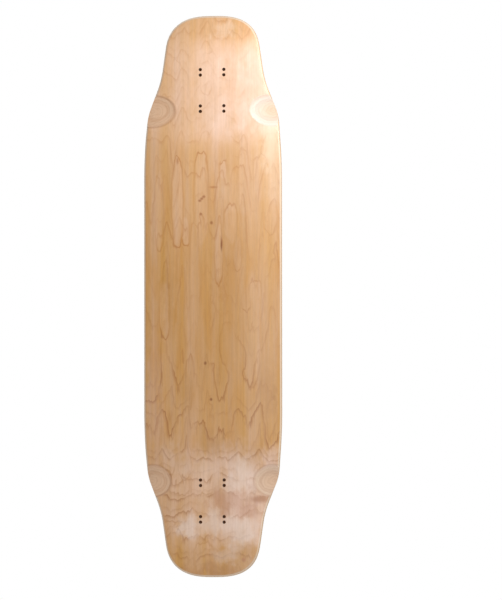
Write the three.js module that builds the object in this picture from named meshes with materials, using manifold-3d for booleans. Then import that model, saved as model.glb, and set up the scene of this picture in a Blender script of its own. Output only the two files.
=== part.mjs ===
// A bare maple longboard deck, pressed from nine veneers, with a kick at each end, a small drop
// between its truck pads, rounded edges, doubled bolt holes and four sanded wheel wells.
// Millimetres. +X runs towards the nose, +Y to the rider's left and +Z up out of the riding side.
// The origin is on the underside, at the middle of the flat belly that the deck lies on.
import * as THREE from 'three';
import { mergeVertices } from 'three/addons/utils/BufferGeometryUtils.js';
import Module from 'manifold-3d';

const wasm = await Module();
wasm.setup();

// Truck bolt holes: two overlapping patterns, so that each truck can be moved along the deck
const innerHoleSpan = 641.4; // between the two innermost rows
const holeSpacingAcross = 41.3;
const longHoleSpacing = 63.5;
const shortHoleSpacing = 54;
const holeDiameter = 5.5;

// Plan of the deck. Each end is drawn from its bolt holes outwards.
const deckWidth = 241.3;
const overhang = 95.3; // from the outermost holes to the tip
const shoulderWidth = 229;
const shoulderToHole = 6; // the shoulder lies this far inside the innermost holes
const waistRun = 75; // from the shoulder back to the straight stretch of the rail
const neckWidth = 181;
const neckToHole = 18; // the neck lies this far inside the outermost holes
const noseWidth = 166;
const noseRun = 61; // the rounded end, measured along the deck from the tip
const nosePower = 2.8; // 2 would make the end a plain ellipse
const waistRound = 40;
const shoulderRound = 15;
const neckRound = 20;

// Shape of the press mould, as heights of the underside above the belly
const bellyFlatWidth = 66;
const concaveDepth = 11; // rise of the rail above the belly at full width
const dropHeight = 6; // rise of the truck pads above the belly
const dropLength = 54;
const dropToHole = 17; // from the end of the drop to the nearest bolt hole
const dropBow = 18; // the drop comes this much later at the rails
const kickToHole = 38; // from the last bolt hole to the start of the kick
const kickRadius = 85;
const kickAngle = THREE.MathUtils.degToRad(17);

// Veneers and edges
const longVeneer = 1.45;
const crossVeneer = 1.2;
const glueLine = 0.1;
const edgeRadius = 5;

// Wheel wells, sanded into the underside beside the innermost bolts
const wellLength = 51;
const noseWellWidth = 82; // across the deck, of which the rail cuts off the outer part
const tailWellWidth = 67;
const wellToHole = 3.4; // their middle lies this far outside the innermost holes
const wellInset = 5; // from the rail to their middle
const wellDepth = 5.6;

// How finely the curved parts are drawn
const outlineStep = 22;
const turnSteps = 2;
const noseSteps = 10;
const dropSteps = 3;
const kickSteps = 2;
const concaveSteps = 3;
const roundSteps = 2;
const holeSides = 8;
const wellSides = 12;
const wellRings = 4;
const overrun = 4; // how far a blank or a cutter runs past what it makes or cuts

const halfWidth = deckWidth / 2;
const bellyHalf = bellyFlatWidth / 2;
const rowOffset = longHoleSpacing - shortHoleSpacing;
const innerHoleX = innerHoleSpan / 2;
const outerHoleX = innerHoleX + longHoleSpacing + rowOffset;
const halfLength = outerHoleX + overhang;
const shoulderX = innerHoleX - shoulderToHole;
const waistX = shoulderX - waistRun;
const neckX = outerHoleX - neckToHole;
const noseX = halfLength - noseRun;
const dropEnd = innerHoleX - dropToHole;
const dropStart = dropEnd - dropLength;
const kickStart = outerHoleX + kickToHole;
const kickBend = kickRadius * Math.sin(kickAngle);
const wellX = innerHoleX + wellToHole;
const slopeStep = longVeneer / 2;

// From the riding side down. The two cross veneers have their grain across the deck.
const veneers = [
  { name: 'top_face_veneer', thickness: longVeneer, colour: '#e9cfab' },
  { name: 'upper_long_veneer', thickness: longVeneer, colour: '#ddb98c' },
  { name: 'upper_cross_veneer', thickness: crossVeneer, colour: '#c99f72' },
  { name: 'upper_core_veneer', thickness: longVeneer, colour: '#ddb98c' },
  { name: 'centre_core_veneer', thickness: longVeneer, colour: '#e0bd92' },
  { name: 'lower_core_veneer', thickness: longVeneer, colour: '#ddb98c' },
  { name: 'lower_cross_veneer', thickness: crossVeneer, colour: '#c99f72' },
  { name: 'lower_long_veneer', thickness: longVeneer, colour: '#ddb98c' },
  { name: 'bottom_face_veneer', thickness: longVeneer, colour: '#dcae78' },
];
const deckThickness = veneers.reduce((sum, veneer) => sum + veneer.thickness + glueLine, -glueLine);

// The mould

function dropDelay(y) {
  return dropBow * (y / halfWidth) ** 2;
}

function kickRise(run) {
  if (run <= 0) return 0;
  if (run < kickBend) return kickRadius - Math.sqrt(kickRadius ** 2 - run ** 2);
  return kickRadius * (1 - Math.cos(kickAngle)) + (run - kickBend) * Math.tan(kickAngle);
}

// Height of the underside at a point of the plan
function underside(x, y) {
  const drop = THREE.MathUtils.smoothstep(Math.abs(x) - dropDelay(y), dropStart, dropEnd);
  const concave = Math.max(0, Math.abs(y) - bellyHalf) / (halfWidth - bellyHalf);
  return dropHeight * drop + kickRise(Math.abs(x) - kickStart) + concaveDepth * concave ** 2;
}

// Height of the surface that lies parallel to the underside, a given depth into the deck
function surface(x, y, depth) {
  const slopeX = (underside(x + slopeStep, y) - underside(x - slopeStep, y)) / (2 * slopeStep);
  const slopeY = (underside(x, y + slopeStep) - underside(x, y - slopeStep)) / (2 * slopeStep);
  return underside(x, y) + depth * Math.hypot(1, slopeX, slopeY);
}

const highest = surface(halfLength, halfWidth, deckThickness) + overrun;

// Solids

function meshFrom(positions, faces) {
  const geometry = new THREE.BufferGeometry();
  geometry.setAttribute('position', new THREE.Float32BufferAttribute(positions, 3));
  geometry.setIndex(faces);
  return geometry;
}

function solidFrom(geometry) {
  const bare = geometry.clone();
  bare.deleteAttribute('normal');
  bare.deleteAttribute('uv');
  const merged = mergeVertices(bare);
  return new wasm.Manifold(new wasm.Mesh({
    numProp: 3,
    vertProperties: new Float32Array(merged.attributes.position.array),
    triVerts: new Uint32Array(merged.index.array),
  }));
}

function geometryFrom(solid) {
  const { vertProperties, triVerts } = solid.getMesh();
  const faceted = meshFrom(vertProperties, Array.from(triVerts)).toNonIndexed();
  faceted.computeVertexNormals();
  return faceted;
}

// Pressed veneers, before the outline is cut

// Lines of the mould across the deck, closer where it bends. Those of the drop are bowed.
function crossLines() {
  const ahead = [];
  for (let i = 0; i <= dropSteps; i++) {
    ahead.push({ x: dropStart + (dropLength * i) / dropSteps, bowed: true });
  }
  for (let i = 0; i <= kickSteps; i++) {
    ahead.push({ x: kickStart + (kickBend * i) / kickSteps, bowed: false });
  }
  ahead.push({ x: halfLength + overrun, bowed: false });
  const behind = ahead.map(({ x, bowed }) => ({ x: -x, bowed })).reverse();
  return [...behind, ...ahead];
}

// Lines of the mould along the deck, from the right rail to the left
function lengthLines() {
  const left = [];
  for (let i = 0; i < concaveSteps; i++) {
    left.push(bellyHalf + ((halfWidth - bellyHalf) * i) / concaveSteps);
  }
  left.push(halfWidth + overrun);
  return [...left.map((y) => -y).reverse(), ...left];
}

function veneerBlank(lower, upper) {
  const rows = crossLines();
  const columns = lengthLines();
  const positions = [];
  for (const depth of [lower, upper]) {
    for (const { x: middleX, bowed } of rows) {
      for (const y of columns) {
        const x = bowed ? middleX + Math.sign(middleX) * dropDelay(y) : middleX;
        positions.push(x, y, surface(x, y, depth));
      }
    }
  }
  const corner = (row, column) => row * columns.length + column;
  const upperLayer = rows.length * columns.length;
  const faces = [];
  for (let row = 1; row < rows.length; row++) {
    for (let column = 1; column < columns.length; column++) {
      const [a, b] = [corner(row - 1, column - 1), corner(row, column - 1)];
      const [c, d] = [corner(row, column), corner(row - 1, column)];
      faces.push(a, c, b, a, d, c);
      faces.push(...[a, b, c, a, c, d].map((point) => point + upperLayer));
    }
  }
  const [lastRow, lastColumn] = [rows.length - 1, columns.length - 1];
  const rim = [];
  for (let row = 0; row < lastRow; row++) rim.push(corner(row, 0));
  for (let column = 0; column < lastColumn; column++) rim.push(corner(lastRow, column));
  for (let row = lastRow; row > 0; row--) rim.push(corner(row, lastColumn));
  for (let column = lastColumn; column > 0; column--) rim.push(corner(0, column));
  rim.forEach((a, i) => {
    const b = rim[(i + 1) % rim.length];
    faces.push(a, b, b + upperLayer, a, b + upperLayer, a + upperLayer);
  });
  return solidFrom(meshFrom(positions, faces));
}

// The outline

// Draws up to a corner of the outline and softly round it
function turnAt(path, from, corner, to, round) {
  const start = corner.clone().add(from.clone().sub(corner).setLength(round));
  const end = corner.clone().add(to.clone().sub(corner).setLength(round));
  path.lineTo(start.x, start.y);
  path.quadraticCurveTo(corner.x, corner.y, end.x, end.y);
}

// From the middle of the left rail to the tip of the nose
function outlineQuarter() {
  const middle = new THREE.Vector2(0, halfWidth);
  const waist = new THREE.Vector2(waistX, halfWidth);
  const shoulder = new THREE.Vector2(shoulderX, shoulderWidth / 2);
  const neck = new THREE.Vector2(neckX, neckWidth / 2);
  const nose = new THREE.Vector2(noseX, noseWidth / 2);
  const path = new THREE.Path();
  path.moveTo(middle.x, middle.y);
  turnAt(path, middle, waist, shoulder, waistRound);
  turnAt(path, waist, shoulder, neck, shoulderRound);
  turnAt(path, shoulder, neck, nose, neckRound);
  path.lineTo(nose.x, nose.y);
  const points = path.getPoints(turnSteps);
  const taper = (nose.y - neck.y) / (nose.x - neck.x);
  for (let i = 1; i <= noseSteps; i++) {
    const turn = ((Math.PI / 2) * i) / noseSteps;
    const run = noseRun * Math.sin(turn) ** (2 / nosePower);
    const share = i < noseSteps ? Math.cos(turn) ** (2 / nosePower) : 0;
    points.push(new THREE.Vector2(nose.x + run, (nose.y + taper * run) * share));
  }
  return points;
}

// The same points with more between them, past the straight stretch of the rail
function divided(points) {
  const fine = [points[0]];
  for (let i = 1; i < points.length; i++) {
    const [from, to] = [points[i - 1], points[i]];
    const parts = to.x > waistX ? Math.ceil(from.distanceTo(to) / outlineStep) : 1;
    for (let part = 1; part <= parts; part++) fine.push(from.clone().lerp(to, part / parts));
  }
  return fine;
}

const quarter = divided(outlineQuarter());

// The whole outline, anticlockwise seen from above
function outline() {
  const place = (signX, signY) => quarter.map((at) => new THREE.Vector2(at.x * signX, at.y * signY));
  const rightNose = place(1, -1);
  const leftNose = place(1, 1).reverse();
  const leftTail = place(-1, 1);
  const rightTail = place(-1, -1).reverse();
  return [rightNose, leftNose, leftTail, rightTail].flatMap((points) => points.slice(0, -1));
}

function railAt(x) {
  const next = quarter.findIndex((at) => at.x > x);
  const [from, to] = [quarter[next - 1], quarter[next]];
  return THREE.MathUtils.mapLinear(x, from.x, to.x, from.y, to.y);
}

// What is left inside the edge when both of its corners have been rounded
function routedEdge() {
  const points = outline();
  const inwards = points.map((point, i) => {
    const along = points[(i + 1) % points.length].clone().sub(points.at(i - 1)).normalize();
    return new THREE.Vector2(-along.y, along.x);
  });
  const ringAt = (inset, heightAt) => points.flatMap((point, i) => {
    const at = point.clone().addScaledVector(inwards[i], inset);
    return [at.x, at.y, heightAt(at)];
  });
  // One step of the round runs on, straight, past the face of the deck
  const insets = [];
  const depths = [];
  for (let i = -1; i <= roundSteps; i++) {
    const turn = ((Math.PI / 2) * i) / roundSteps;
    insets.push(edgeRadius * (1 - Math.sin(turn)));
    depths.push(edgeRadius * (1 - Math.cos(turn)) * (i < 0 ? -1 : 1));
  }
  const lower = insets.map((inset, i) => ringAt(inset, (at) => surface(at.x, at.y, depths[i])));
  const upper = insets.map((inset, i) => (
    ringAt(inset, (at) => surface(at.x, at.y, deckThickness - depths[i]))
  ));
  const rings = [
    ringAt(insets[0], () => -overrun), ...lower, ...upper.reverse(), ringAt(insets[0], () => highest),
  ];
  const count = points.length;
  const faces = [];
  for (let ring = 1; ring < rings.length; ring++) {
    for (let i = 0; i < count; i++) {
      const [a, b] = [(ring - 1) * count + i, (ring - 1) * count + ((i + 1) % count)];
      faces.push(a, b, b + count, a, b + count, a + count);
    }
  }
  const lastRing = (rings.length - 1) * count;
  for (const [a, b, c] of THREE.ShapeUtils.triangulateShape(points, [])) {
    faces.push(a, c, b, lastRing + a, lastRing + b, lastRing + c);
  }
  return solidFrom(meshFrom(rings.flat(), faces));
}

// Cutters

function boltDrills() {
  const height = highest + 2 * overrun;
  const drills = [];
  for (const end of [-1, 1]) {
    for (const row of [innerHoleX, innerHoleX + rowOffset, outerHoleX - rowOffset, outerHoleX]) {
      for (const side of [-1, 1]) {
        const drill = new THREE.CylinderGeometry(holeDiameter / 2, holeDiameter / 2, height, holeSides);
        drill.rotateX(Math.PI / 2);
        drill.translate(end * row, (side * holeSpacingAcross) / 2, height / 2 - overrun);
        drills.push(solidFrom(drill));
      }
    }
  }
  return drills;
}

// A shallow dome, square to the underside, that takes out one wheel well
function wellCutter(end, side) {
  const rimShare = Math.sqrt(1 + overrun / wellDepth); // the dome's curve runs on below the deck
  const profile = [new THREE.Vector2(0, -overrun)];
  for (let i = wellRings; i >= 0; i--) {
    const share = (rimShare * i) / wellRings;
    profile.push(new THREE.Vector2((share * wellLength) / 2, wellDepth * (1 - share ** 2)));
  }
  const dome = new THREE.LatheGeometry(profile, wellSides);
  dome.rotateX(Math.PI / 2);
  dome.scale(1, (end > 0 ? noseWellWidth : tailWellWidth) / wellLength, 1);
  const centreY = railAt(wellX) - wellInset;
  const innerY = centreY - noseWellWidth / 2; // nose and tail wells are tilted alike
  const lift = underside(wellX, centreY);
  dome.rotateX(Math.atan2(lift - underside(wellX, innerY), centreY - innerY));
  dome.translate(end * side * wellX, centreY, lift);
  if (side < 0) dome.rotateZ(Math.PI);
  return solidFrom(dome);
}

// The deck

const edge = routedEdge();
const wells = [-1, 1].flatMap((end) => [-1, 1].map((side) => wellCutter(end, side)));
const cutters = [...boltDrills(), ...wells].reduce((joined, cutter) => joined.add(cutter));

const deck = new THREE.Group();
let top = deckThickness;
for (const { name, thickness, colour } of veneers) {
  const cut = veneerBlank(top - thickness, top).intersect(edge).subtract(cutters);
  const maple = new THREE.MeshStandardMaterial({ color: colour, roughness: 0.5, metalness: 0 });
  const veneer = new THREE.Mesh(geometryFrom(cut), maple);
  veneer.name = name;
  deck.add(veneer);
  top -= thickness + glueLine;
}

export default deck;
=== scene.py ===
# A bare maple longboard deck. Nine veneers are laid out flat, bent by the press, drilled, sanded
# at the wheel wells and lacquered, and the camera looks at the underside as in the photograph.
# Drawings are in millimetres and Blender works in metres.
from functools import partial
from math import atan2, ceil, cos, inf, pi, radians, sin, sqrt, tan

import bpy
from mathutils import Matrix, Vector
from mathutils.geometry import delaunay_2d_cdt
from mathutils.kdtree import KDTree


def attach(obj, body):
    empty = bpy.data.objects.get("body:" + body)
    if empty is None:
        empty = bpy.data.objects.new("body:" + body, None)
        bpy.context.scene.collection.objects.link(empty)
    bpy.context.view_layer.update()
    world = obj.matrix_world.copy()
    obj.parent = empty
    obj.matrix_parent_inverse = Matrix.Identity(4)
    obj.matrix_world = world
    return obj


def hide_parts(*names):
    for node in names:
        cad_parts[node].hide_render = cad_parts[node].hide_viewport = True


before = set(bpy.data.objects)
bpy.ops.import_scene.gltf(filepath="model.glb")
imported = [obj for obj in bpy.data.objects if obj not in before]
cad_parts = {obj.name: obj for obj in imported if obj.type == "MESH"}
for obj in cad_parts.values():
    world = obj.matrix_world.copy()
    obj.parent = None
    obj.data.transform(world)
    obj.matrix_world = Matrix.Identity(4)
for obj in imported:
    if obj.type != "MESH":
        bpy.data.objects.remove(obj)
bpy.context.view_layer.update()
print("frame loaded with", len(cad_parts), "veneers")

mm = 0.001


def linearColour(code):
    parts = [int(code[i:i + 2], 16) / 255 for i in (1, 3, 5)]
    return (*[c / 12.92 if c <= 0.04045 else ((c + 0.055) / 1.055) ** 2.4 for c in parts], 1)


def addNode(tree, kind, *inputs, **settings):
    # Inputs come in the node's own order, or by name in a dictionary. A list makes several links to
    # one socket, a text is the code of a colour, and Math is short for ShaderNodeMath.
    node = tree.nodes.new(kind if "Node" in kind else "ShaderNode" + kind)
    for name, value in settings.items():
        setattr(node, name, value)
    sockets = [socket for socket in node.inputs if socket.enabled]
    for i, given in enumerate(inputs):
        for key, value in given.items() if isinstance(given, dict) else [(i, given)]:
            socket = sockets[i] if key == i else next(s for s in sockets if s.name == key)
            for item in reversed(value) if isinstance(value, list) else [value]:
                if isinstance(item, bpy.types.Node):
                    item = next(s for s in item.outputs if s.enabled)
                if isinstance(item, bpy.types.NodeSocket):
                    tree.links.new(item, socket)
                else:
                    socket.default_value = linearColour(item) if isinstance(item, str) else item
    return node


def newGroup(kind, name, inputs, outputs):
    # Inputs and outputs say what each socket holds. The tree comes with its own form of addNode.
    tree = bpy.data.node_groups.new(name, kind)
    for direction, sockets in (("INPUT", inputs), ("OUTPUT", outputs)):
        for socket, holds in sockets.items():
            tree.interface.new_socket(socket, in_out=direction, socket_type="NodeSocket" + holds)
    add = partial(addNode, tree)
    return tree, add, add("NodeGroupInput").outputs


def newMaterial(name):
    material = bpy.data.materials.new(name)
    material.use_nodes = True
    material.node_tree.nodes.clear()
    return material, partial(addNode, material.node_tree)


# The plan of the deck, drawn for one quarter: the straight rail, three rounded corners and the nose

plan = {
    "waist": (239.7, 120.65), "waistRound": 40,
    "shoulder": (314.7, 114.5), "shoulderRound": 15,
    "neck": (375.7, 90.5), "neckRound": 20,
    "nose": (428, 83), "noseRun": 61, "nosePower": 2.8,
    "roundSteps": 16, "noseSteps": 96,
    "step": 3,                          # between the points of the outline
    "grid": 6, "clear": 0.55,           # between those inside it, and how much of it the rail keeps free
    "edgeRadius": 5, "edgeSteps": 10,   # both corners of the rail are rounded
    "lastSanding": 0.02,
    "thickness": 13.35,
}


def quarterOutline():
    corners = [Vector(plan[name]) for name in ("waist", "shoulder", "neck", "nose")]
    before = Vector((0, corners[0].y))
    points = [before]
    for corner, after, name in zip(corners, corners[1:], ("waistRound", "shoulderRound", "neckRound")):
        start = corner + (before - corner).normalized() * plan[name]
        end = corner + (after - corner).normalized() * plan[name]
        for i in range(plan["roundSteps"] + 1):
            t = i / plan["roundSteps"]
            points.append(start * (1 - t) ** 2 + corner * 2 * t * (1 - t) + end * t ** 2)
        before = corner
    nose, neck = corners[3], corners[2]
    taper = (nose.y - neck.y) / (nose.x - neck.x)
    power, steps = 2 / plan["nosePower"], plan["noseSteps"]
    for i in range(steps):
        turn = pi / 2 * i / steps
        run = plan["noseRun"] * sin(turn) ** power
        points.append(Vector((nose.x + run, (nose.y + taper * run) * cos(turn) ** power)))
    return points + [Vector((nose.x + plan["noseRun"], 0))]


def evenly(points, step):
    lengths = [0]
    for a, b in zip(points, points[1:]):
        lengths.append(lengths[-1] + (b - a).length)
    count = ceil(lengths[-1] / step)
    spaced, at = [], 1
    for i in range(count + 1):
        want = lengths[-1] * i / count
        while at < len(points) - 1 and lengths[at] < want:
            at += 1
        gap = lengths[at] - lengths[at - 1]
        spaced.append(points[at - 1].lerp(points[at], (want - lengths[at - 1]) / gap))
    return spaced


quarter = evenly(quarterOutline(), plan["step"])
outline = []  # anticlockwise, seen from above
for signX, signY in ((1, -1), (1, 1), (-1, 1), (-1, -1)):
    part = [Vector((p.x * signX, p.y * signY)) for p in quarter]
    outline += (part if signX != signY else part[::-1])[:-1]
inwards = []
for i in range(len(outline)):
    tangent = (outline[(i + 1) % len(outline)] - outline[i - 1]).normalized()
    inwards.append(Vector((-tangent.y, tangent.x)))


def ringAt(inset):
    return [p + n * (inset + plan["lastSanding"]) for p, n in zip(outline, inwards)]


def railAt(x):
    a, b = next(pair for pair in zip(quarter, quarter[1:]) if pair[1].x > x)
    return a.lerp(b, (x - a.x) / (b.x - a.x)).y


def flatInside():
    # Triangles inside the rounded rail, the same for both faces of every veneer
    ring = ringAt(plan["edgeRadius"])
    near = KDTree(len(ring))
    for i, p in enumerate(ring):
        near.insert((p.x, p.y, 0), i)
    near.balance()
    points = list(ring)
    grid = plan["grid"]
    columns, rows = int(quarter[-1].x // grid), int(quarter[0].y // grid)
    for i in range(-columns, columns + 1):
        for j in range(-rows, rows + 1):
            p = Vector((i * grid, j * grid))
            spot, index, distance = near.find((p.x, p.y, 0))
            inside = (p - ring[index]).dot(inwards[index]) > 0
            if inside and distance > plan["clear"] * grid:
                points.append(p)
    loop = [list(range(len(ring)))]
    spots, edges, faces, origins, *rest = delaunay_2d_cdt(points, [], loop, 1, 1e-5)
    place = {origin: new for new, olds in enumerate(origins) for origin in olds}
    return spots, faces, [place[i] for i in range(len(ring))]


spots, triangles, rim = flatInside()
print("plan drawn with", len(outline), "points on the outline and", len(spots), "inside")


def edgeProfile(low, high):
    # (inset, depth) up the rounded rail of one veneer
    radius, thickness = plan["edgeRadius"], plan["thickness"]
    turns = [radians(90 / plan["edgeSteps"] * (i + 1)) for i in range(plan["edgeSteps"])]
    steps = [radius * (1 - cos(turn)) for turn in turns]
    low, high = round(low, 4), round(high, 4)
    depths = {low, high, *steps, *[thickness - step for step in steps]}
    profile = []
    for depth in sorted(d for d in depths if low <= d <= high):
        toFace = max(0, min(depth, thickness - depth, radius))
        profile.append((radius - sqrt(radius ** 2 - (radius - toFace) ** 2), depth))
    return [step for step in profile if step[0] < radius - 0.001]


def flatVeneer(name, low, high):
    # A closed flat sheet whose third coordinate is its depth in the deck
    count = len(outline)
    points = [(p.x, p.y, low) for p in spots] + [(p.x, p.y, high) for p in spots]
    faces = [tuple(reversed(face)) for face in triangles]
    faces += [tuple(i + len(spots) for i in face) for face in triangles]
    rings = [rim]
    for inset, depth in edgeProfile(low, high):
        rings.append(range(len(points), len(points) + count))
        points += [(p.x, p.y, depth) for p in ringAt(inset)]
    rings.append([i + len(spots) for i in rim])
    for lower, upper in zip(rings, rings[1:]):
        for i in range(count):
            j = (i + 1) % count
            faces.append((lower[i], lower[j], upper[j], upper[i]))
    mesh = bpy.data.meshes.new(name)
    mesh.from_pydata([Vector(p) * mm for p in points], [], faces)
    piece = bpy.data.objects.new(name, mesh)
    bpy.context.scene.collection.objects.link(piece)
    return piece


# The press: a Geometry Nodes tree that bends a flat veneer to the mould, then drills and sands it

kickAngle, kickRadius = radians(16.6), 85
mould = {
    "Deck width": 241.3,
    "Belly flat width": 66,
    "Concave depth": 11,
    "Drop start": 249.7,
    "Drop end": 303.7,
    "Drop height": 6,
    "Drop bow": 18,      # the drop comes this much later at the rails
    "Kick start": 431.7,
    "Kick radius": kickRadius,
    "Kick bend": kickRadius * sin(kickAngle),
}
holes = {
    "Hole diameter": 5.5,
    "Holes across": 41.3,
    "Inner hole span": 641.4,
    "Hole pair": 9.5,
    "Long hole spacing": 63.5,
}
well = {
    "length": 51, "noseWidth": 82, "tailWidth": 67, "inset": 5, "depth": 5.6,
    "toHole": 3.4,                          # their middle lies this far outside the innermost holes
    "seenMiddle": 321.7, "seenLength": 56,  # longer towards the belly, which lies lower than the pads
}
fineness = {
    "drillSides": 40, "drillLength": 0.1, "ballSegments": 192, "ballRings": 96,
    "slopeStep": 0.725,                     # mm to each side, over which the mould's slope is taken
    "sharpEdge": radians(11),               # steeper corners stay crisp
}


def undersideAt(x, y):
    # Only for the belly and pads, where the wells are
    half, flat = mould["Deck width"] / 2, mould["Belly flat width"] / 2
    late = abs(x) - mould["Drop bow"] * (y / half) ** 2 - mould["Drop start"]
    t = min(1, max(0, late / (mould["Drop end"] - mould["Drop start"])))
    dish = max(0, abs(y) - flat) / (half - flat)
    return mould["Drop height"] * t * t * (3 - 2 * t) + mould["Concave depth"] * dish ** 2


def wellInputs():
    # A large ball, widened across the deck, whose cap takes out the well
    x = holes["Inner hole span"] / 2 + well["toHole"]
    middle = railAt(x) - well["inset"]
    inner = middle - well["noseWidth"] / 2  # nose and tail wells are tilted alike
    lift = undersideAt(x, middle)
    tilt = atan2(lift - undersideAt(x, inner), middle - inner)
    half, depth = well["length"] / 2, well["depth"]
    radius = (half ** 2 + depth ** 2) / (2 * depth)
    sink = radius - depth
    return {
        "Ball radius": radius * mm,
        "Nose ball widening": well["noseWidth"] / well["length"],
        "Tail ball widening": well["tailWidth"] / well["length"],
        "Ball tilt": tilt,
        "Ball span along": 2 * x * mm,
        "Ball span across": 2 * (middle + sin(tilt) * sink) * mm,
        "Ball height": (lift - cos(tilt) * sink) * mm,
    }, middle


ballInputs, wellMiddle = wellInputs()


def mouldHeightTree():
    numbers = dict.fromkeys(("X", "Y", *mould), "Float")
    tree, add, given = newGroup("GeometryNodeTree", "Mould height", numbers, {"Height": "Float"})
    along = add("Math", given["X"], operation="ABSOLUTE")
    aside = add("Math", given["Y"], operation="ABSOLUTE")
    half = add("Math", given["Deck width"], 0.5, operation="MULTIPLY")
    flat = add("Math", given["Belly flat width"], 0.5, operation="MULTIPLY")
    # The drop between belly and truck pads
    share = add("Math", aside, half, operation="DIVIDE")
    square = add("Math", share, 2.0, operation="POWER")
    late = add("Math", square, given["Drop bow"], operation="MULTIPLY")
    reach = add("Math", along, late, operation="SUBTRACT")
    drop = add("MapRange", reach, given["Drop start"], given["Drop end"], 0.0, given["Drop height"],
        interpolation_type="SMOOTHSTEP")
    # The kick: an arc and then a straight slope
    past = add("Math", along, given["Kick start"], operation="SUBTRACT")
    run = add("Math", past, 0.0, operation="MAXIMUM")
    bent = add("Math", run, given["Kick bend"], operation="MINIMUM")
    bentSquare = add("Math", bent, bent, operation="MULTIPLY")
    radius = given["Kick radius"]
    radiusSquare = add("Math", radius, radius, operation="MULTIPLY")
    under = add("Math", radiusSquare, bentSquare, operation="SUBTRACT")
    root = add("Math", under, operation="SQRT")
    curl = add("Math", radius, root, operation="SUBTRACT")
    onwards = add("Math", run, bent, operation="SUBTRACT")
    kick = add("Math", onwards, tan(kickAngle), curl, operation="MULTIPLY_ADD")
    # The raised rails
    out = add("Math", aside, flat, operation="SUBTRACT")
    raised = add("Math", out, 0.0, operation="MAXIMUM")
    room = add("Math", half, flat, operation="SUBTRACT")
    rise = add("Math", raised, room, operation="DIVIDE")
    riseSquare = add("Math", rise, rise, operation="MULTIPLY")
    dished = add("Math", riseSquare, given["Concave depth"], drop, operation="MULTIPLY_ADD")
    height = add("Math", dished, kick, operation="ADD")
    add("NodeGroupOutput", height)
    return tree


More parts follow.
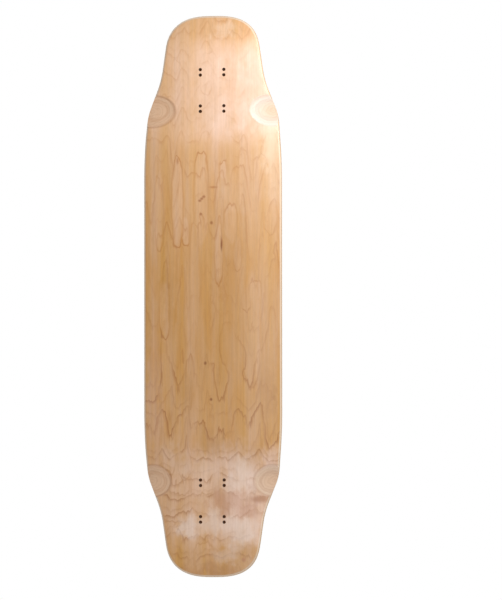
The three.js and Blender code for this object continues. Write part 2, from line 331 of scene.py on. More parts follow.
def pressTree():
    heightTree = mouldHeightTree()
    numbers = dict.fromkeys((*mould, *holes, *ballInputs, "Sharp edge"), "Float")
    tree, add, given = newGroup(
        "GeometryNodeTree", "Press, drill and sand",
        {"Geometry": "Geometry", **numbers, "Maple": "Material"}, {"Geometry": "Geometry"})
    # Bend: each point goes as far above the mould as it lies deep in the deck, square to its slope
    spot = add("SeparateXYZ", add("GeometryNodeInputPosition")).outputs
    nudge = fineness["slopeStep"] * mm
    sizes = {name: given[name] for name in mould}
    heights = []
    for dx, dy in ((0, 0), (nudge, 0), (-nudge, 0), (0, nudge), (0, -nudge)):
        x = add("Math", spot["X"], dx, operation="ADD")
        y = add("Math", spot["Y"], dy, operation="ADD")
        heights.append(add("GeometryNodeGroup", x, y, sizes, node_tree=heightTree))
    here, ahead, behind, left, right = heights
    rises = []
    for one, other in ((ahead, behind), (left, right)):
        step = add("Math", one, other, operation="SUBTRACT")
        slope = add("Math", step, 2 * nudge, operation="DIVIDE")
        rises.append(add("Math", slope, slope, operation="MULTIPLY"))
    both = add("Math", rises[0], rises[1], operation="ADD")
    plusOne = add("Math", both, 1.0, operation="ADD")
    stretch = add("Math", plusOne, operation="SQRT")
    z = add("Math", spot["Z"], stretch, here, operation="MULTIPLY_ADD")
    bentTo = add("CombineXYZ", spot["X"], spot["Y"], z)
    pressed = add("GeometryNodeSetPosition", {"Geometry": given["Geometry"], "Position": bentTo})
    # Drill: four rows of holes at each end, each row a grid of four points
    span, pair, spacing = given["Inner hole span"], given["Hole pair"], given["Long hole spacing"]
    outer = add("Math", spacing, pair, operation="ADD")
    rows = []
    for offset in (0.0, pair, spacing, outer):
        size = add("Math", offset, 2.0, span, operation="MULTIPLY_ADD")
        rows.append(add("GeometryNodeMeshGrid", {
            "Size X": size, "Size Y": given["Holes across"], "Vertices X": 2, "Vertices Y": 2}))
    rowPoints = add("GeometryNodeJoinGeometry", rows)
    radius = add("Math", given["Hole diameter"], 0.5, operation="MULTIPLY")
    drill = add("GeometryNodeMeshCylinder", {
        "Vertices": fineness["drillSides"], "Radius": radius, "Depth": fineness["drillLength"]})
    drills = add("GeometryNodeInstanceOnPoints", {"Points": rowPoints, "Instance": drill})
    # Sand: four balls, each tilted to lie square to the raised rail
    places = add("GeometryNodeMeshGrid", {
        "Size X": given["Ball span along"], "Size Y": given["Ball span across"],
        "Vertices X": 2, "Vertices Y": 2})
    drop = add("CombineXYZ", 0.0, 0.0, given["Ball height"])
    lowered = add("GeometryNodeSetPosition", {"Geometry": places, "Offset": drop})
    side = add("Math", spot["Y"], operation="SIGN")
    tilt = add("Math", side, given["Ball tilt"], operation="MULTIPLY")
    turn = add("CombineXYZ", tilt)
    atNose = add("Math", spot["X"], 0.0, operation="GREATER_THAN")
    widening = add("Mix", atNose, given["Tail ball widening"], given["Nose ball widening"])
    widen = add("CombineXYZ", 1.0, widening, 1.0)
    ball = add("GeometryNodeMeshUVSphere", {
        "Segments": fineness["ballSegments"], "Rings": fineness["ballRings"],
        "Radius": given["Ball radius"]})
    # On its side, with its poles out of the well
    onSide = add("GeometryNodeTransform", {"Geometry": ball, "Rotation": (0, pi / 2, 0)})
    balls = add("GeometryNodeInstanceOnPoints",
        {"Points": lowered, "Instance": onSide, "Rotation": turn, "Scale": widen})
    tools = add("GeometryNodeJoinGeometry", [drills, balls])
    cutters = add("GeometryNodeRealizeInstances", tools)
    worked = add("GeometryNodeMeshBoolean", pressed, cutters, operation="DIFFERENCE", solver="MANIFOLD")
    # Finish: soft shading that stops at the corners
    soft = add("GeometryNodeSetShadeSmooth", {"Geometry": worked, "Shade Smooth": True})
    angle = add("GeometryNodeInputMeshEdgeAngle").outputs["Unsigned Angle"]
    corner = add("FunctionNodeCompare", angle, given["Sharp edge"], data_type="FLOAT",
        operation="GREATER_THAN")
    crisp = add("GeometryNodeSetShadeSmooth",
        {"Geometry": soft, "Selection": corner, "Shade Smooth": False}, domain="EDGE")
    whole = add("GeometryNodeRealizeInstances", crisp)
    finished = add("GeometryNodeSetMaterial", whole, {"Material": given["Maple"]})
    add("NodeGroupOutput", finished)
    return tree


# Materials. All patterns are drawn in millimetres of the deck itself.

def inMillimetres(add):
    place = add("TexCoord").outputs["Object"]
    return add("VectorMath", place, 1000.0, operation="SCALE")


def stretchedNoise(add, place, sizes, detail, roughness=0.5, shift=(0, 0, 0)):
    # Its features are about as long, wide and deep as the sizes, and inf leaves a direction out
    scales = tuple(1 / size for size in sizes)
    spread = add("VectorMath", place, scales, shift, operation="MULTIPLY_ADD")
    return add("TexNoise", {"Vector": spread, "Scale": 1.0, "Detail": detail, "Roughness": roughness})


def boltHoleTree():
    # Millimetres from the axis of the nearest bolt hole, by folding the eight pairs on to one hole
    tree, add, given = newGroup(
        "ShaderNodeTree", "Bolt hole distance", {"Place": "Vector"}, {"Distance": "Float"})
    place = add("SeparateXYZ", given["Place"]).outputs
    inner, pair, spacing = holes["Inner hole span"] / 2, holes["Hole pair"], holes["Long hole spacing"]
    x = place["X"]
    for middle in (0, inner + (spacing + pair) / 2, spacing / 2, pair / 2):
        shifted = add("Math", x, middle, operation="SUBTRACT")
        x = add("Math", shifted, operation="ABSOLUTE")
    side = add("Math", place["Y"], operation="ABSOLUTE")
    y = add("Math", side, holes["Holes across"] / 2, operation="SUBTRACT")
    apart = add("CombineXYZ", x, y)
    length = add("VectorMath", apart, operation="LENGTH")
    add("NodeGroupOutput", length)
    return tree


sanding = {
    # The whitish second colour is a painted highlight that whitens the left wells
    "wood": "#e2b997", "paintedGlare": "#e5ded6", "border": "#8f5322", "borderStrength": 0.36,
    "ring": "#8f5322", "rings": 0.2, "ringsInGlare": 0.09, "ringCount": 6.0,
    "ringWarp": (26, 12, inf), "ringVeer": 2.4,
}


def sandedWellTree():
    # Share: 0 in the middle of a wheel well, 1 on its border. Cut: 1 where the ball has sanded, and
    # less by the border, where the sanding feathers out. Glare: 1 where a painted highlight whitens
    # the wood, in the left wells and most of all by the nose. Wood: its colour, with painted shade
    # by the right rail. Rings of the cut wood show less in the painted highlight.
    tree, add, given = newGroup("ShaderNodeTree", "Sanded well", {"Place": "Vector"}, {
        "Share": "Float", "Cut": "Float", "Chalk": "Float", "Wood": "Color"})
    place = given["Place"]
    xyz = add("SeparateXYZ", place).outputs
    atNose = add("Math", xyz["X"], 0.0, operation="GREATER_THAN")
    folded = add("VectorMath", place, operation="ABSOLUTE")
    # How far the wood is from the ball that has sanded it
    ball = {name: size / mm for name, size in ballInputs.items()}
    centre = (ball["Ball span along"] / 2, ball["Ball span across"] / 2, ball["Ball height"])
    fromBall = add("VectorMath", folded, centre, operation="SUBTRACT")
    upright = add("VectorRotate", {"Vector": fromBall, "Angle": -ballInputs["Ball tilt"]},
        rotation_type="X_AXIS")
    narrowing = add("Mix", atNose, (1, 1 / ballInputs["Tail ball widening"], 1),
        (1, 1 / ballInputs["Nose ball widening"], 1), data_type="VECTOR")
    narrowed = add("VectorMath", upright, narrowing, operation="MULTIPLY")
    reach = add("VectorMath", narrowed, operation="LENGTH")
    off = add("Math", reach, ball["Ball radius"], operation="SUBTRACT")
    gap = add("Math", off, operation="ABSOLUTE")
    cut = add("MapRange", gap, 0.08, 0.35, 1.0, 0.0)
    # The well as it is seen from below
    middle = (well["seenMiddle"], wellMiddle, 0)
    moved = add("VectorMath", folded, middle, operation="SUBTRACT")
    scale = add("Mix", atNose, (2 / well["seenLength"], 2 / well["tailWidth"], 0),
        (2 / well["seenLength"], 2 / well["noseWidth"], 0), data_type="VECTOR")
    scaled = add("VectorMath", moved, scale, operation="MULTIPLY")
    share = add("VectorMath", scaled, operation="LENGTH")
    warp = stretchedNoise(add, place, sanding["ringWarp"], 3.0)
    veer = add("Math", warp, sanding["ringVeer"], operation="MULTIPLY")
    count = add("Math", share, sanding["ringCount"], veer, operation="MULTIPLY_ADD")
    saw = add("Math", count, operation="FRACT")
    ring = add("MapRange", saw, 0.45, 1.0)
    leftSide = add("MapRange", xyz["Y"], 40.0, 70.0)
    noseEnd = add("MapRange", xyz["X"], -200.0, 200.0, 0.3, 1.0)
    inCorner = add("Math", leftSide, noseEnd, operation="MULTIPLY")
    byBorder = add("MapRange", share, 0.2, 0.85, 0.3, 1.0)
    paintedGlare = add("Math", inCorner, byBorder, operation="MULTIPLY")
    wood = add("Mix", paintedGlare, sanding["wood"], sanding["paintedGlare"], data_type="RGBA")
    ringDepth = add("MapRange", paintedGlare, 0.0, 1.0, sanding["rings"], sanding["ringsInGlare"])
    ringShown = add("Math", ring, ringDepth, operation="MULTIPLY")
    ringed = add("Mix", ringShown, wood, sanding["ring"], data_type="RGBA")
    # Painted shade: the wells grow darker towards the right rail
    shade = add("MapRange", xyz["Y"], -112.0, -86.0, 0.84, 1.02)
    shaded = add("HueSaturation", {"Value": shade, "Color": ringed})
    thin = add("MapRange", share, 0.84, 1.02, 1.0, 0.45)
    shown = add("Math", cut, thin, operation="MULTIPLY")
    add("NodeGroupOutput", {"Share": share, "Cut": shown, "Chalk": paintedGlare, "Wood": shaded})
    return tree


boltHoles = boltHoleTree()
sandedWell = sandedWellTree()

years = {  # each push: length and width in mm, detail and height in years
    "fingers": (250, 30, 1.0, 4.6), "scallops": (70, 42, 2.0, 2.2), "wobble": (18, 6, 1.0, 0.3),
    "spacing": 95, "endSpacing": 60, "noseScallops": 0.35,
    "step": 0.8,                       # mm, over which the field's steepness is measured
    "softSide": 5.5, "hardSide": 1.4,  # mm, over which a line fades out on either side
    "zigzagSpan": (-120, 120), "zigzagReach": 300,
    # Zigzag lines of the tail half, from the right rail to the left one: Y and X of each turn
    "upperZigzag": [
        (-120, -178), (-101, -187), (-86, -140), (-71, -92), (-59, -155), (-46, -134), (-37, -60),
        (-30, -129), (-19, -157), (-8, -114), (2, -133), (13, -192), (22, -175), (38, -120),
        (66, -163), (84, -95), (120, -130)],
    "lowerZigzag": [
        (-120, -220), (-101, -230), (-88, -168), (-74, -244), (-65, -222), (-52, -190), (-44, -156),
        (-37, -234), (-25, -214), (-16, -212), (-3, -253), (10, -236), (18, -234), (33, -241),
        (46, -187), (64, -228), (83, -170), (99, -279), (120, -230)],
}


def yearFieldTree():
    # The whole numbers of this field are year lines. It climbs along the deck. Noise stretched along
    # the grain pushes it into fingers, which give way to zigzags and to low scallops on the pads.
    tree, add, given = newGroup(
        "ShaderNodeTree", "Year field", {"Place": "Vector", "Offset": "Vector"}, {"Field": "Float"})
    x, y = add("SeparateXYZ", given["Place"]).outputs[:2]
    pushes = []
    for length, width, detail, height in (years["fingers"], years["scallops"], years["wobble"]):
        sizes = (length, width, inf)
        rise = stretchedNoise(add, given["Place"], sizes, detail, shift=given["Offset"])
        level = add("Math", rise, 0.5, operation="SUBTRACT")
        pushes.append(add("Math", level, height, operation="MULTIPLY"))
    fingers, scallops, wobble = pushes
    # The two zigzag lines, each a curve across the deck
    (right, left), reach = years["zigzagSpan"], years["zigzagReach"]
    across = add("MapRange", y, right, left)
    lines = []
    for turns, passed in ((years["upperZigzag"], 1), (years["lowerZigzag"], 2)):
        curve = add("FloatCurve", {"Value": across})
        points = curve.mapping.curves[0].points
        bends = [((turnY - right) / (left - right), 1 + turnX / reach) for turnY, turnX in turns]
        points[0].location, points[1].location = bends[0], bends[-1]
        for bend in bends[1:-1]:
            points.new(*bend)
        for point in points:
            point.handle_type = "VECTOR"  # straight flanks
        curve.mapping.update()
        top = reach / years["spacing"] - passed
        lines.append(add("MapRange", curve, 0.0, 1.0, top, -passed))
    lower = add("MapRange", x, -180.0, -212.0)
    zigzag = add("Mix", lower, lines[0], lines[1])
    tailwards = add("MapRange", x, -70.0, -150.0, interpolation_type="SMOOTHSTEP")
    little = add("Math", fingers, 0.12, operation="MULTIPLY")
    zigzagged = add("Math", zigzag, little, operation="ADD")
    push = add("Mix", tailwards, fingers, zigzagged)
    along = add("Math", x, operation="ABSOLUTE")
    endsTo = add("MapRange", x, -200.0, 200.0, 1.0, years["noseScallops"])
    ends = add("MapRange", along, 245.0, 330.0, 0.0, endsTo, interpolation_type="SMOOTHSTEP")
    pushed = add("Mix", ends, push, scallops)
    climb = add("Math", x, 1 / years["spacing"], pushed, operation="MULTIPLY_ADD")
    inner = add("Clamp", x, -265.0, 265.0)
    past = add("Math", x, inner, operation="SUBTRACT")
    ended = add("Math", past, 1 / years["endSpacing"], climb, operation="MULTIPLY_ADD")
    field = add("Math", ended, wobble, operation="ADD")
    add("NodeGroupOutput", field)
    return tree


yearField = yearFieldTree()

loops = {  # the strongest lines, each a long loop with dark tips, faint flanks and paler wood inside
    "wander": 3, "width": 2.6, "flank": 0.42,
    # X, Y, half length, half width, strength, and which end stays open: 1 nose, -1 tail, 0 none
    "places": [
        (160, -60, 78, 10, 1.0, 0), (112, -46, 28, 7, 1.0, 1), (150, -92, 72, 7, 0.6, 1),
        (165, -19, 84, 13, 0.9, -1), (124, 33, 34, 11, 0.9, -1), (204, 86, 42, 13, 0.6, -1),
        (160, 101, 54, 12, 0.5, 1), (219, 20, 16, 6, 0.9, -1), (70, 12.5, 52, 7, 1.0, 1),
        (74, 45, 30, 7, 0.7, 1), (-22, -84, 52, 9, 1.0, 1), (8, 75, 16, 11, 0.8, -1),
        (-12, 60, 14, 8, 0.8, 1), (-60, 69, 100, 15, 0.7, 1), (30, -30, 95, 9, 0.5, -1),
        (196, 56, 60, 10, 0.4, -1), (416, -3, 8, 6, 0.5, -1), (390, 47, 46, 11, 0.6, 1),
        (392, -10, 42, 11, 0.6, 1), (372, -62, 40, 9, 0.4, -1), (330, -4, 42, 8, 0.4, -1),
        (-291, -48, 27, 12, 0.7, 1), (-329, -57, 15, 18, 0.8, 1), (-331, -18, 16, 18, 0.7, 1),
        (-286, -76, 22, 12, 0.7, 1), (-380, -62, 14, 26, 0.7, 1), (-422, -50, 20, 24, 0.5, -1),
        (-455, -15, 24, 18, 0.5, -1), (-300, 84, 40, 16, 0.5, 1), (-345, 88, 34, 14, 0.6, 1)],
}


def loopTree():
    tree, add, given = newGroup(
        "ShaderNodeTree", "Drawn loops", {"Place": "Vector"}, {"Line": "Float", "Inside": "Float"})
    warp = stretchedNoise(add, given["Place"], (26, 11, inf), 2.0).outputs["Color"]
    level = add("VectorMath", warp, (0.5, 0.5, 0.5), operation="SUBTRACT")
    sway = (10 * loops["wander"], 2 * loops["wander"], 0)
    wander = add("VectorMath", level, sway, given["Place"], operation="MULTIPLY_ADD")
    total, inside = 0.0, 0.0
    for atX, atY, halfLength, halfWidth, strength, opening in loops["places"]:
        off = add("VectorMath", wander, (atX, atY, 0), operation="SUBTRACT")
        scale = (1 / halfLength, 1 / halfWidth, 0)
        shape = add("VectorMath", off, scale, operation="MULTIPLY")
        x, y = add("SeparateXYZ", shape).outputs[:2]
        # Long flanks and round tips: x ** 4 + y ** 2 is 1 on the line. What it is off by, divided by
        # its steepness, is a distance in mm.
        squareX = add("Math", x, x, operation="MULTIPLY")
        squareY = add("Math", y, y, operation="MULTIPLY")
        both = add("Math", squareX, squareX, squareY, operation="MULTIPLY_ADD")
        apart = add("Math", both, 1.0, operation="SUBTRACT")
        cubeX = add("Math", squareX, x, operation="MULTIPLY")
        climb = add("CombineXYZ", cubeX, y, 0.01)
        climbScale = (4 / halfLength, 2 / halfWidth, 1)
        steepness = add("VectorMath", climb, climbScale, operation="MULTIPLY")
        steep = add("VectorMath", steepness, operation="LENGTH")
        aside = add("Math", apart, steep, operation="DIVIDE")
        beside = add("Math", aside, operation="ABSOLUTE")
        toTip = add("MapRange", squareX, 0.35, 0.9, loops["flank"] * strength, strength)
        drawn = add("MapRange", beside, 0.0, loops["width"], toTip, 0.0, interpolation_type="SMOOTHSTEP")
        filled = add("MapRange", both, 0.5, 1.05, strength, 0.0)
        inside = add("Math", inside, filled, operation="MAXIMUM")
        if opening:
            kept = add("MapRange", x, 0.9 * opening, -0.2 * opening)
            drawn = add("Math", drawn, kept, operation="MULTIPLY")
        total = add("Math", total, drawn, operation="MAXIMUM")
    add("NodeGroupOutput", {"Line": total, "Inside": inside})
    return tree


loopLines = loopTree()

marks = [  # X, Y, half length, half width, strength, colour
    # Pin knots
    (-118, -11.5, 4, 3.2, 0.9, "#7a3a00"), (-181, -1.4, 3.6, 3, 0.85, "#7a3a00"),
    (126, -0.5, 4, 3.6, 0.75, "#8a4400"), (141, -19.4, 3.4, 2.8, 0.6, "#8a4400"),
    # Mineral streaks
    (171.5, -14, 3, 3.8, 0.7, "#8f4a0a"), (168, -17.5, 3, 3.8, 0.7, "#8f4a0a"),
    (164.5, -21, 3, 3.8, 0.7, "#8f4a0a"), (234, -60, 7, 2.6, 0.5, "#a05a18"),
    (188, 3, 2.6, 9, 0.5, "#a05a18"), (88, 17, 14, 2.4, 0.95, "#7e3a00"),
    (16.5, -75.7, 8, 4.5, 0.35, "#a06a38"), (4, 19, 46, 7, 0.3, "#b7772f"),
    # Reddish patches and stains by the tail
    (-360, 15, 30, 22, 0.55, "#bd8560"), (-370, 65, 18, 24, 0.4, "#c4907a"),
    (-459, 54, 5, 5, 0.6, "#b06f4c"), (-354, 82, 8, 24, 0.6, "#a5683c"),
    (-340, 67, 16, 8, 0.35, "#ad7448"),
    # Painted sheen in pale patches, most of them on the tail's pad
    (-314, 54, 40, 32, 0.6, "#f3dccd"), (-411, 50, 32, 38, 0.65, "#f3dccd"),
    (-402, -39, 22, 26, 0.6, "#f3dccd"), (-395, 4, 22, 26, 0.45, "#f3dccd"),
    (266, 104, 52, 34, 0.3, "#fdebd6"), (-450, 30, 18, 34, 0.3, "#f3dccd"),
    (-300, -35, 26, 40, 0.22, "#f3dccd"),
    # Pink patches
    (378, 74, 56, 26, 0.3, "#e0a78f"), (-356, 42, 16, 20, 0.35, "#c8937a"),
    # Painted light, slightly paler, most of it by the rails
    (215, 118, 75, 32, 0.2, "#fdebd6"), (172, 38, 40, 26, 0.12, "#f3dccd"),
    (462, 22, 16, 30, 0.22, "#fcebdc"), (-170, -100, 150, 18, 0.2, "#dcb2a0"),
    (-275, -76, 30, 22, 0.16, "#f3dccd"),
    # A darker middle, and darker patches
    (-30, 12, 230, 95, 0.3, "#b98338"), (0, -74, 80, 14, 0.3, "#b8802c"),
    (-172, -40, 50, 16, 0.3, "#b8843c"), (-168, 96, 60, 18, 0.35, "#b07c44"),
    # On the next line, the patch across the tail's tip is painted shade, where the kick turns from the
    # lamps
    (-256, -2, 26, 24, 0.3, "#b08054"), (-480, -6, 16, 70, 0.4, "#a9713a"),
    (60, 40, 60, 18, 0.25, "#b8803c"), (356, 38, 40, 18, 0.25, "#dfa878"),
]
underFace = {
    "name": "Lacquered rotary-cut maple", "offset": (3, 7, 1), "wells": True, "marks": marks,
    # rail: the colour of a painted highlight on the rounded rail
    "yellow": "#cd9850", "pink": "#d3a67b", "ochre": "#cc9246", "rail": "#f4ebdd", "boreShade": "#5c381c",
    # The pad colour is a painted sheen on the truck pads, and also the paler wood inside the loops
    "pad": "#fbdccd", "padSheenStrength": 0.7, "sheenTint": "#fbdcc4", "noseSheen": 0.2,
    "line": "#a9620f", "tailLine": "#9f6128", "lineNose": 0.4, "lineTail": 0.78,
    "echo": 0.62, "echoStrength": 0.4, "loopStrength": 0.62,
}
rideFace = {
    **underFace, "name": "Lacquered rotary-cut maple, riding side", "offset": (50, 20, 7),
    "wells": False, "marks": [], "yellow": "#dcb98d", "pink": "#e0bfa0", "ochre": "#d2a66e",
    "rail": "#ecdcc3", "padSheenStrength": 0.0, "noseSheen": 0.0, "line": "#b98350", "tailLine": "#b98350",
    "lineNose": 0.6, "lineTail": 0.6, "loopStrength": 0.0,
}


def sandedWood(add, place, wood):
    # Bare wood in the wells, with a soft brown border where the lacquer stops
    wellHere = add("Group", place, node_tree=sandedWell).outputs
    fromBorder = add("Math", wellHere["Share"], 1.0, operation="SUBTRACT")
    toBorder = add("Math", fromBorder, operation="ABSOLUTE")
    border = add("MapRange", toBorder, 0.0, 0.09, sanding["borderStrength"], 0.0)
    bare = add("Math", wellHere["Cut"], 0.85, operation="MULTIPLY")
    sanded = add("Mix", bare, wood, wellHere["Wood"], data_type="RGBA")
    # The brown border fades under the painted highlight of the left wells
    inGlare = add("MapRange", wellHere["Chalk"], 0.0, 1.0, 1.0, 0.15)
    borderShown = add("Math", border, inGlare, operation="MULTIPLY")
    bordered = add("Mix", borderShown, sanded, sanding["border"], data_type="RGBA")
    return bordered, bare


def faceMaple(look):
    # Clear satin lacquer over a peeled sheet: soft gloss, thin brown year lines that run out into
    # long fingers, silky fibres along the deck and faint yellow and pink bands
    material, add = newMaterial(look["name"])
    place = inMillimetres(add)
    xyz = add("SeparateXYZ", place).outputs
    along = add("Math", xyz["X"], operation="ABSOLUTE")
    tail = add("MapRange", xyz["X"], 160.0, -200.0)

    def noise(sizes, detail, roughness, shift):
        away = tuple(Vector(look["offset"]) + Vector(shift))
        return stretchedNoise(add, place, sizes, detail, roughness, away)

    # Year lines of an even width, with a faint echo between them: the field divided by its own
    # steepness is a distance in mm
    counts = []
    for step in ((0, 0, 0), (years["step"], 0, 0), (0, years["step"], 0)):
        stepped = add("VectorMath", place, step, operation="ADD")
        counts.append(add("Group", stepped, look["offset"], node_tree=yearField))
    climbs = [add("Math", count, counts[0], operation="SUBTRACT") for count in counts[1:]]
    rise = add("CombineXYZ", *climbs)
    rises = add("VectorMath", rise, 1 / years["step"], operation="SCALE")
    steep = add("VectorMath", rises, operation="LENGTH")
    slope = add("Math", steep, 0.012, operation="MAXIMUM")
    line = 0.0
    for shift, share in ((0.0, 1.0), (look["echo"], look["echoStrength"])):
        shifted = add("Math", counts[0], shift, operation="ADD")
        year = add("Math", shifted, operation="FRACT")
        left = add("Math", 1.0, year, operation="SUBTRACT")
        before = add("Math", left, slope, operation="DIVIDE")
        after = add("Math", year, slope, operation="DIVIDE")
        rising = add("MapRange", before, 0.0, years["softSide"], 1.0, 0.0)
        falling = add("MapRange", after, 0.0, years["hardSide"], 1.0, 0.0)
        softRise = add("Math", rising, 1.5, operation="POWER")
        both = add("Math", softRise, falling, operation="MAXIMUM")
        weighed = add("Math", both, share, operation="MULTIPLY")
        line = add("Math", line, weighed, operation="MAXIMUM")
    # Fainter where they crowd, in places, by the tips, in the middle and towards the nose
    crowded = add("MapRange", steep, 0.09, 0.3, 1.0, 0.3)
    faint = noise((110, 22, 400), 2.0, 0.6, (5, 17, 3))
    faintHere = add("MapRange", faint, 0.38, 0.56, 0.25, 1.0)
    byEnd = add("Mix", tail, look["lineNose"], look["lineTail"])
    nosePart = add("MapRange", xyz["X"], 230.0, 300.0, 1.0, 0.75)
    tailPart = add("MapRange", xyz["X"], -450.0, -400.0, 0.6, 1.0)
    offMiddle = add("Math", xyz["X"], 20.0, operation="ADD")
    toMiddle = add("Math", offMiddle, operation="ABSOLUTE")
    middlePart = add("MapRange", toMiddle, 50.0, 115.0, 0.5, 1.0)
    for part in (crowded, faintHere, byEnd, nosePart, tailPart, middlePart):
        line = add("Math", line, part, operation="MULTIPLY")

    # Bands and clouds of colour, and a painted sheen that grows towards the nose
    bands = add("MapRange", noise((420, 24, 400), 4.0, 0.6, (1, 31, 9)), 0.36, 0.64)
    clouds = noise((130, 22, 400), 3.0, 0.55, (41, 3, 2))
    cloudy = add("MapRange", clouds, 0.47, 0.68, 0.0, 0.6)
    # Painted sheen: a pale tint that grows towards the nose, nearest the key lamp
    noseSheenShare = add("MapRange", xyz["X"], 60.0, 330.0, 0.0, look["noseSheen"])
    # Truck pads, from the bowed end of the drop to the start of the kick, get a painted sheen, paler
    # in patches and strongest towards the left rail. Its border is ragged at the tail.
    aside = add("Math", xyz["Y"], xyz["Y"], operation="MULTIPLY")
    bow = -mould["Drop bow"] / (mould["Deck width"] / 2) ** 2
    reach = add("Math", aside, bow, along, operation="MULTIPLY_ADD")
    patches = noise((52, 30, 400), 3.0, 0.6, (23, 13, 8))
    torn = add("Math", patches, 0.5, operation="SUBTRACT")
    tear = add("Math", torn, tail, operation="MULTIPLY")
    tornReach = add("Math", tear, 90.0, reach, operation="MULTIPLY_ADD")
    padIn = add("MapRange", tornReach, 240.0, 298.0, interpolation_type="SMOOTHSTEP")
    kickStart = add("MapRange", tail, 0.0, 1.0, 415.0, 395.0)
    tornOut = add("Math", tear, -60.0, along, operation="MULTIPLY_ADD")
    padOut = add("MapRange", tornOut, kickStart, 462.0, 1.0, 0.0, interpolation_type="SMOOTHSTEP")
    patched = add("MapRange", patches, 0.36, 0.62, 0.45, 1.0)
    bySide = add("MapRange", xyz["Y"], -85.0, 45.0, 0.22, 0.96)
    pad = look["padSheenStrength"]
    for part in (padIn, padOut, patched, bySide):
        pad = add("Math", pad, part, operation="MULTIPLY")
    # The drawn loops join the year lines, and both are fainter on the pads
    drawn = add("Group", place, node_tree=loopLines).outputs
    inside = add("Math", drawn["Inside"], 0.18 * look["loopStrength"], operation="MULTIPLY")
    loop = add("Math", drawn["Line"], look["loopStrength"], operation="MULTIPLY")
    darkest = add("Math", line, loop, operation="MAXIMUM")
    padKeeps = add("MapRange", tail, 0.0, 1.0, 0.1, 0.4)
    onPad = add("MapRange", pad, 0.0, 0.6, 1.0, padKeeps)
    lined = add("Math", darkest, onPad, operation="MULTIPLY")
    lineColour = add("Mix", tail, look["line"], look["tailLine"], data_type="RGBA")
    layers = [
        (bands, look["pink"]), (cloudy, look["ochre"]), (noseSheenShare, look["sheenTint"]), (pad, look["pad"]),
        (inside, look["pad"]), (lined, lineColour)]

    # Knots, streaks and patches, the larger ones with a frayed border
    warp = stretchedNoise(add, place, (30, 22, inf), 4.0, 0.6).outputs["Color"]
    level = add("VectorMath", warp, (0.5, 0.5, 0.5), operation="SUBTRACT")
    frayed = add("VectorMath", level, (70, 60, 0), place, operation="MULTIPLY_ADD")
    for x, y, halfLength, halfWidth, strength, colour in look["marks"]:
        border = frayed if halfLength > 15 else place
        off = add("VectorMath", border, (x, y, 0), operation="SUBTRACT")
        scale = (1 / halfLength, 1 / halfWidth, 0)
        shape = add("VectorMath", off, scale, operation="MULTIPLY")
        apart = add("VectorMath", shape, operation="LENGTH")
        shown = add("MapRange", apart, 0.2, 1.2, strength, 0.0, interpolation_type="SMOOTHSTEP")
        layers.append((shown, colour))
    wood = look["yellow"]
    for share, colour in layers:
        wood = add("Mix", share, wood, colour, data_type="RGBA")

    # Fibres about 1 mm wide, coarser than real ones so that they show, wider silky streaks, and
    # the short flecks of a rotary-cut sheet
    fibres = noise((70, 1.1, 3), 2.0, 0.6, (0, 0, 0))
    streaks = noise((280, 4.5, 400), 2.0, 0.6, (8, 4, 6))
    flecks = noise((9, 3.2, 400), 3.0, 0.65, (12, 5, 1))
    tone = 1.0
    for pattern, low, high, dark, light in (
            (fibres, 0.3, 0.7, 0.96, 1.04), (streaks, 0.33, 0.67, 0.955, 1.035),
            (flecks, 0.32, 0.68, 0.972, 1.024)):
        toneHere = add("MapRange", pattern, low, high, dark, light)
        tone = add("Math", tone, toneHere, operation="MULTIPLY")
    toned = add("HueSaturation", {"Value": tone, "Color": wood})

    # The rounded rail is paler with a painted highlight, the wheel wells are bare wood and the bores are
    # darkened with painted shade
    facing = add("TexCoord").outputs["Normal"]
    upright = add("SeparateXYZ", facing).outputs["Z"]
    flatness = add("Math", upright, operation="ABSOLUTE")
    rimHighlight = add("MapRange", flatness, 0.6, 0.9, 0.8, 0.0)
    finish = add("Mix", rimHighlight, toned, look["rail"], data_type="RGBA")
    bare = 0.0
    if look["wells"]:
        finish, bare = sandedWood(add, place, finish)
    fromHole = add("Group", place, node_tree=boltHoles)
    # Painted shade: the bores are as dark as the shadow in the holes
    boreShadeShare = add("MapRange", fromHole, 2.76, 3.1, 1.0, 0.0)
    boreShaded = add("Mix", boreShadeShare, finish, look["boreShade"], data_type="RGBA")
    rough = add("MapRange", fibres, 0.3, 0.7, 0.38, 0.46)
    roughBare = add("Mix", bare, rough, 0.7)
    roughTo = add("Mix", boreShadeShare, roughBare, 1.0)
    bump = add("Bump", {"Height": fibres, "Strength": 0.12, "Distance": 0.0003})
    shader = add("BsdfPrincipled", {
        "Base Color": boreShaded, "Roughness": roughTo, "IOR": 1.5, "Normal": bump,
        "Specular IOR Level": 0.45, "Coat Weight": 0.2, "Coat Roughness": 0.25})
    add("OutputMaterial", shader)
    return material


longPly = {
    "name": "Maple veneer along the deck",
    "pale": "#ead2b4", "dark": "#d6b490", "boreShade": "#5c381c", "streaks": (160, 5, 1.2), "roughness": 0.6,
}
crossPly = {
    "name": "Maple veneer across the deck",
    "pale": "#cca57e", "dark": "#ae855d", "boreShade": "#5c381c", "streaks": (1.6, 90, 1.0), "roughness": 0.65,
}


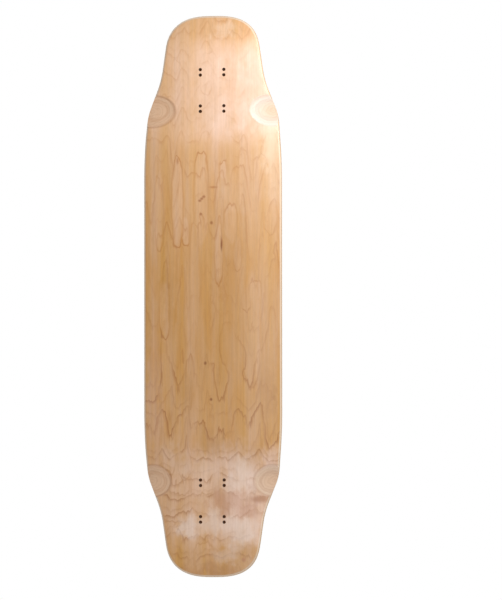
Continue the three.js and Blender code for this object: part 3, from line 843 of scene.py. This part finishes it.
def plyMaple(look):
    # Inner veneers, seen only where the rail and the wells were sanded: matt, with their fibres
    # along or across the deck, and darker where the ends of the fibres show
    material, add = newMaterial(look["name"])
    place = inMillimetres(add)
    fibres = stretchedNoise(add, place, look["streaks"], 3.0, 0.6)
    dark = add("MapRange", fibres, 0.3, 0.7)
    wood = add("Mix", dark, look["pale"], look["dark"], data_type="RGBA")
    wellHere = add("Group", place, node_tree=sandedWell).outputs
    inWell = add("Math", wellHere["Cut"], 0.8, operation="MULTIPLY")
    bare = add("Mix", inWell, wood, wellHere["Wood"], data_type="RGBA")
    fromHole = add("Group", place, node_tree=boltHoles)
    # Painted shade: the bores are as dark as the shadow in the holes
    boreShadeShare = add("MapRange", fromHole, 2.8, 3.4, 1.0, 0.0)
    boreShaded = add("Mix", boreShadeShare, bare, look["boreShade"], data_type="RGBA")
    roughTo = add("Mix", boreShadeShare, look["roughness"], 1.0)
    bump = add("Bump", {"Height": fibres, "Strength": 0.2, "Distance": 0.0003})
    shader = add("BsdfPrincipled", {
        "Base Color": boreShaded, "Roughness": roughTo, "IOR": 1.5, "Normal": bump})
    add("OutputMaterial", shader)
    return material


maples = {
    "bottom_face_maple": faceMaple(underFace),
    "top_face_maple": faceMaple(rideFace),
    "long_grain_maple": plyMaple(longPly),
    "cross_grain_maple": plyMaple(crossPly),
}
print("materials made")

# From the riding side down: thickness and slot. 0.1 mm of glue lies between two veneers.
stack = [
    ("top_face_veneer", 1.45, "top_face_maple"),
    ("upper_long_veneer", 1.45, "long_grain_maple"),
    ("upper_cross_veneer", 1.2, "cross_grain_maple"),
    ("upper_core_veneer", 1.45, "long_grain_maple"),
    ("centre_core_veneer", 1.45, "long_grain_maple"),
    ("lower_core_veneer", 1.45, "long_grain_maple"),
    ("lower_cross_veneer", 1.2, "cross_grain_maple"),
    ("lower_long_veneer", 1.45, "long_grain_maple"),
    ("bottom_face_veneer", 1.45, "bottom_face_maple"),
]
glueLine = 0.1
press = pressTree()


def pressVeneer(piece, maple):
    modifier = piece.modifiers.new("Press", "NODES")
    modifier.node_group = press
    sizes = {name: size * mm for name, size in {**mould, **holes}.items()}
    values = {**sizes, **ballInputs, "Sharp edge": fineness["sharpEdge"], "Maple": maple}
    for item in press.interface.items_tree:
        if item.in_out == "INPUT" and item.name in values:
            modifier[item.identifier] = values[item.name]
    depsgraph = bpy.context.evaluated_depsgraph_get()
    flat = piece.data
    piece.data = bpy.data.meshes.new_from_object(piece.evaluated_get(depsgraph))
    piece.modifiers.clear()
    bpy.data.meshes.remove(flat)


top = plan["thickness"]
for node, thickness, slot in stack:
    piece = flatVeneer("pressed_" + node, top - thickness, top)
    pressVeneer(piece, maples[slot])
    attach(piece, "root")
    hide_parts(node)
    print("pressed", node, "with", len(piece.data.polygons), "faces")
    top -= thickness + glueLine


# The stage. The pale floor is there for a camera above it, and from below it lets light and sight
# through, because the photograph looks at the underside.

def stagePlane(name, xs, ys, z, material):
    corners = [(xs[0], ys[0], z), (xs[1], ys[0], z), (xs[1], ys[1], z), (xs[0], ys[1], z)]
    mesh = bpy.data.meshes.new(name)
    mesh.from_pydata(corners, [], [(0, 1, 2, 3)])
    mesh.materials.append(material)
    plane = bpy.data.objects.new(name, mesh)
    bpy.context.scene.collection.objects.link(plane)
    plane.visible_glossy = plane.visible_transmission = False


def oneSided(name, colour, kind):
    # Seen from its front, nothing from its back. The first light to reach what the camera sees goes
    # through it, and light that has bounced doesn't, so the underside throws no glow on the floor.
    material, add = newMaterial(name)
    paper = add(kind, {"Color": colour})
    gone = add("BsdfTransparent")
    back = add("NewGeometry").outputs["Backfacing"]
    rays = add("LightPath").outputs
    early = add("Math", rays["Ray Depth"], 1.5, operation="LESS_THAN")
    lighting = add("Math", early, rays["Is Camera Ray"], operation="SUBTRACT")
    clear = add("Math", back, lighting, operation="MAXIMUM")
    shown = add("MixShader", clear, paper, gone)
    add("OutputMaterial", shown)
    return material


floor = {"x": (-12, 12), "y": (-12, 12), "height": -0.0003}
paleFloor = oneSided("Pale studio paper", "#faf8f6", "BsdfDiffuse")
stagePlane("floor", floor["x"], floor["y"], floor["height"], paleFloor)

# The cards are painted shade: a dark emitting sheet where the holes need only shadow.
# Behind the bolt holes, so that they read dark as in the photograph. Their fronts look down.
holeCards = {"nose": (0.402, 0.312), "tail": (-0.312, -0.402), "y": (-0.028, 0.028), "height": 0.0215}
shadeCard = oneSided("Painted shade card", "#46260f", "Emission")
for end in ("nose", "tail"):
    stagePlane("hole_shade_card_" + end, holeCards[end], holeCards["y"], holeCards["height"], shadeCard)

world = bpy.data.worlds.new("Soft white room")
bpy.context.scene.world = world
world.use_nodes = True
world.node_tree.nodes.clear()
evenLight = 0.42  # what the room throws on the deck, while it is seen at a strength of 1
add = partial(addNode, world.node_tree)
rays = add("LightPath").outputs
seen = add("Math", rays["Is Camera Ray"], rays["Is Glossy Ray"], operation="MAXIMUM")
seenThrough = add("Math", seen, rays["Is Transmission Ray"], operation="MAXIMUM")
strength = add("MapRange", seenThrough, 0.0, 1.0, evenLight, 1.0)
white = add("Background", "#ffffff", strength)
add("OutputWorld", white)

lamps = [  # name, place, aim, width, height, watts, colour. All of them lie lower than the floor.
    ("nose_key", (0.52, 0.27, -0.34), (0.22, 0.02, 0), 0.22, 0.22, 1.56, "#fffaf4"),
    ("rail_glint", (0.5, 0.95, -0.06), (0.38, 0.1, 0.01), 0.2, 0.1, 1.75, "#fffaf4"),
    ("rail_fill", (-0.1, 1.7, -0.09), (-0.05, 0.1, 0.01), 0.8, 0.16, 4, "#fffaf4"),
    ("tail_fill", (-1.4, 0.3, -1.1), (-0.2, 0, 0), 0.8, 0.8, 4, "#fffaf8"),
    ("under_fill", (0.3, 0.5, -2.2), (-0.1, 0, 0), 0.9, 0.9, 10, "#ffffff"),
]
for name, place, aim, width, height, watts, colour in lamps:
    data = bpy.data.lights.new(name, "AREA")
    data.shape, data.size, data.size_y, data.energy = "ELLIPSE", width, height, watts
    data.color = linearColour(colour)[:3]
    lamp = bpy.data.objects.new(name, data)
    lamp.location = place
    lamp.rotation_euler = (Vector(aim) - Vector(place)).to_track_quat("-Z", "Y").to_euler()
    lamp.visible_camera = False
    bpy.context.scene.collection.objects.link(lamp)
# A sun from above is even over the whole floor, with a soft shadow
sky = {"place": (0.7, -1.0, 1.9), "spread": radians(24), "strength": 1.9, "colour": "#fffaf5"}
data = bpy.data.lights.new("over_key", "SUN")
data.angle, data.energy, data.color = sky["spread"], sky["strength"], linearColour(sky["colour"])[:3]
lamp = bpy.data.objects.new("over_key", data)
lamp.location = sky["place"]
lamp.rotation_euler = Vector(sky["place"]).to_track_quat("Z", "Y").to_euler()
bpy.context.scene.collection.objects.link(lamp)
print("floor, cards and lamps placed")

# The camera looks up at the underside through a long lens, with the nose at the top of the frame.
# It stands a little towards the tail and to the left rail, which is on the right of the picture.
view = {
    "aim": (-0.0087, 0.0682, 0.003), "distance": 9, "frameHeight": 1.0412,
    "lean": radians(2.7), "aside": radians(6.8), "roll": radians(-0.064),
}
lean, aside = view["lean"], view["aside"]
back = Vector((-sin(lean) * cos(aside), sin(aside), -cos(lean) * cos(aside)))
level = Vector((1, 0, 0)).cross(back).normalized()
up = (back.cross(level) + level * -tan(view["roll"])).normalized()
cameraData = bpy.data.cameras.new("camera")
cameraData.lens = cameraData.sensor_width * view["distance"] / view["frameHeight"]
cameraData.clip_end = 100
camera = bpy.data.objects.new("camera", cameraData)
turned = Matrix((up.cross(back), up, back)).transposed().to_4x4()
camera.matrix_world = Matrix.Translation(Vector(view["aim"]) + back * view["distance"]) @ turned
bpy.context.scene.collection.objects.link(camera)
bpy.context.scene.camera = camera
bpy.context.scene.view_settings.view_transform = "Standard"
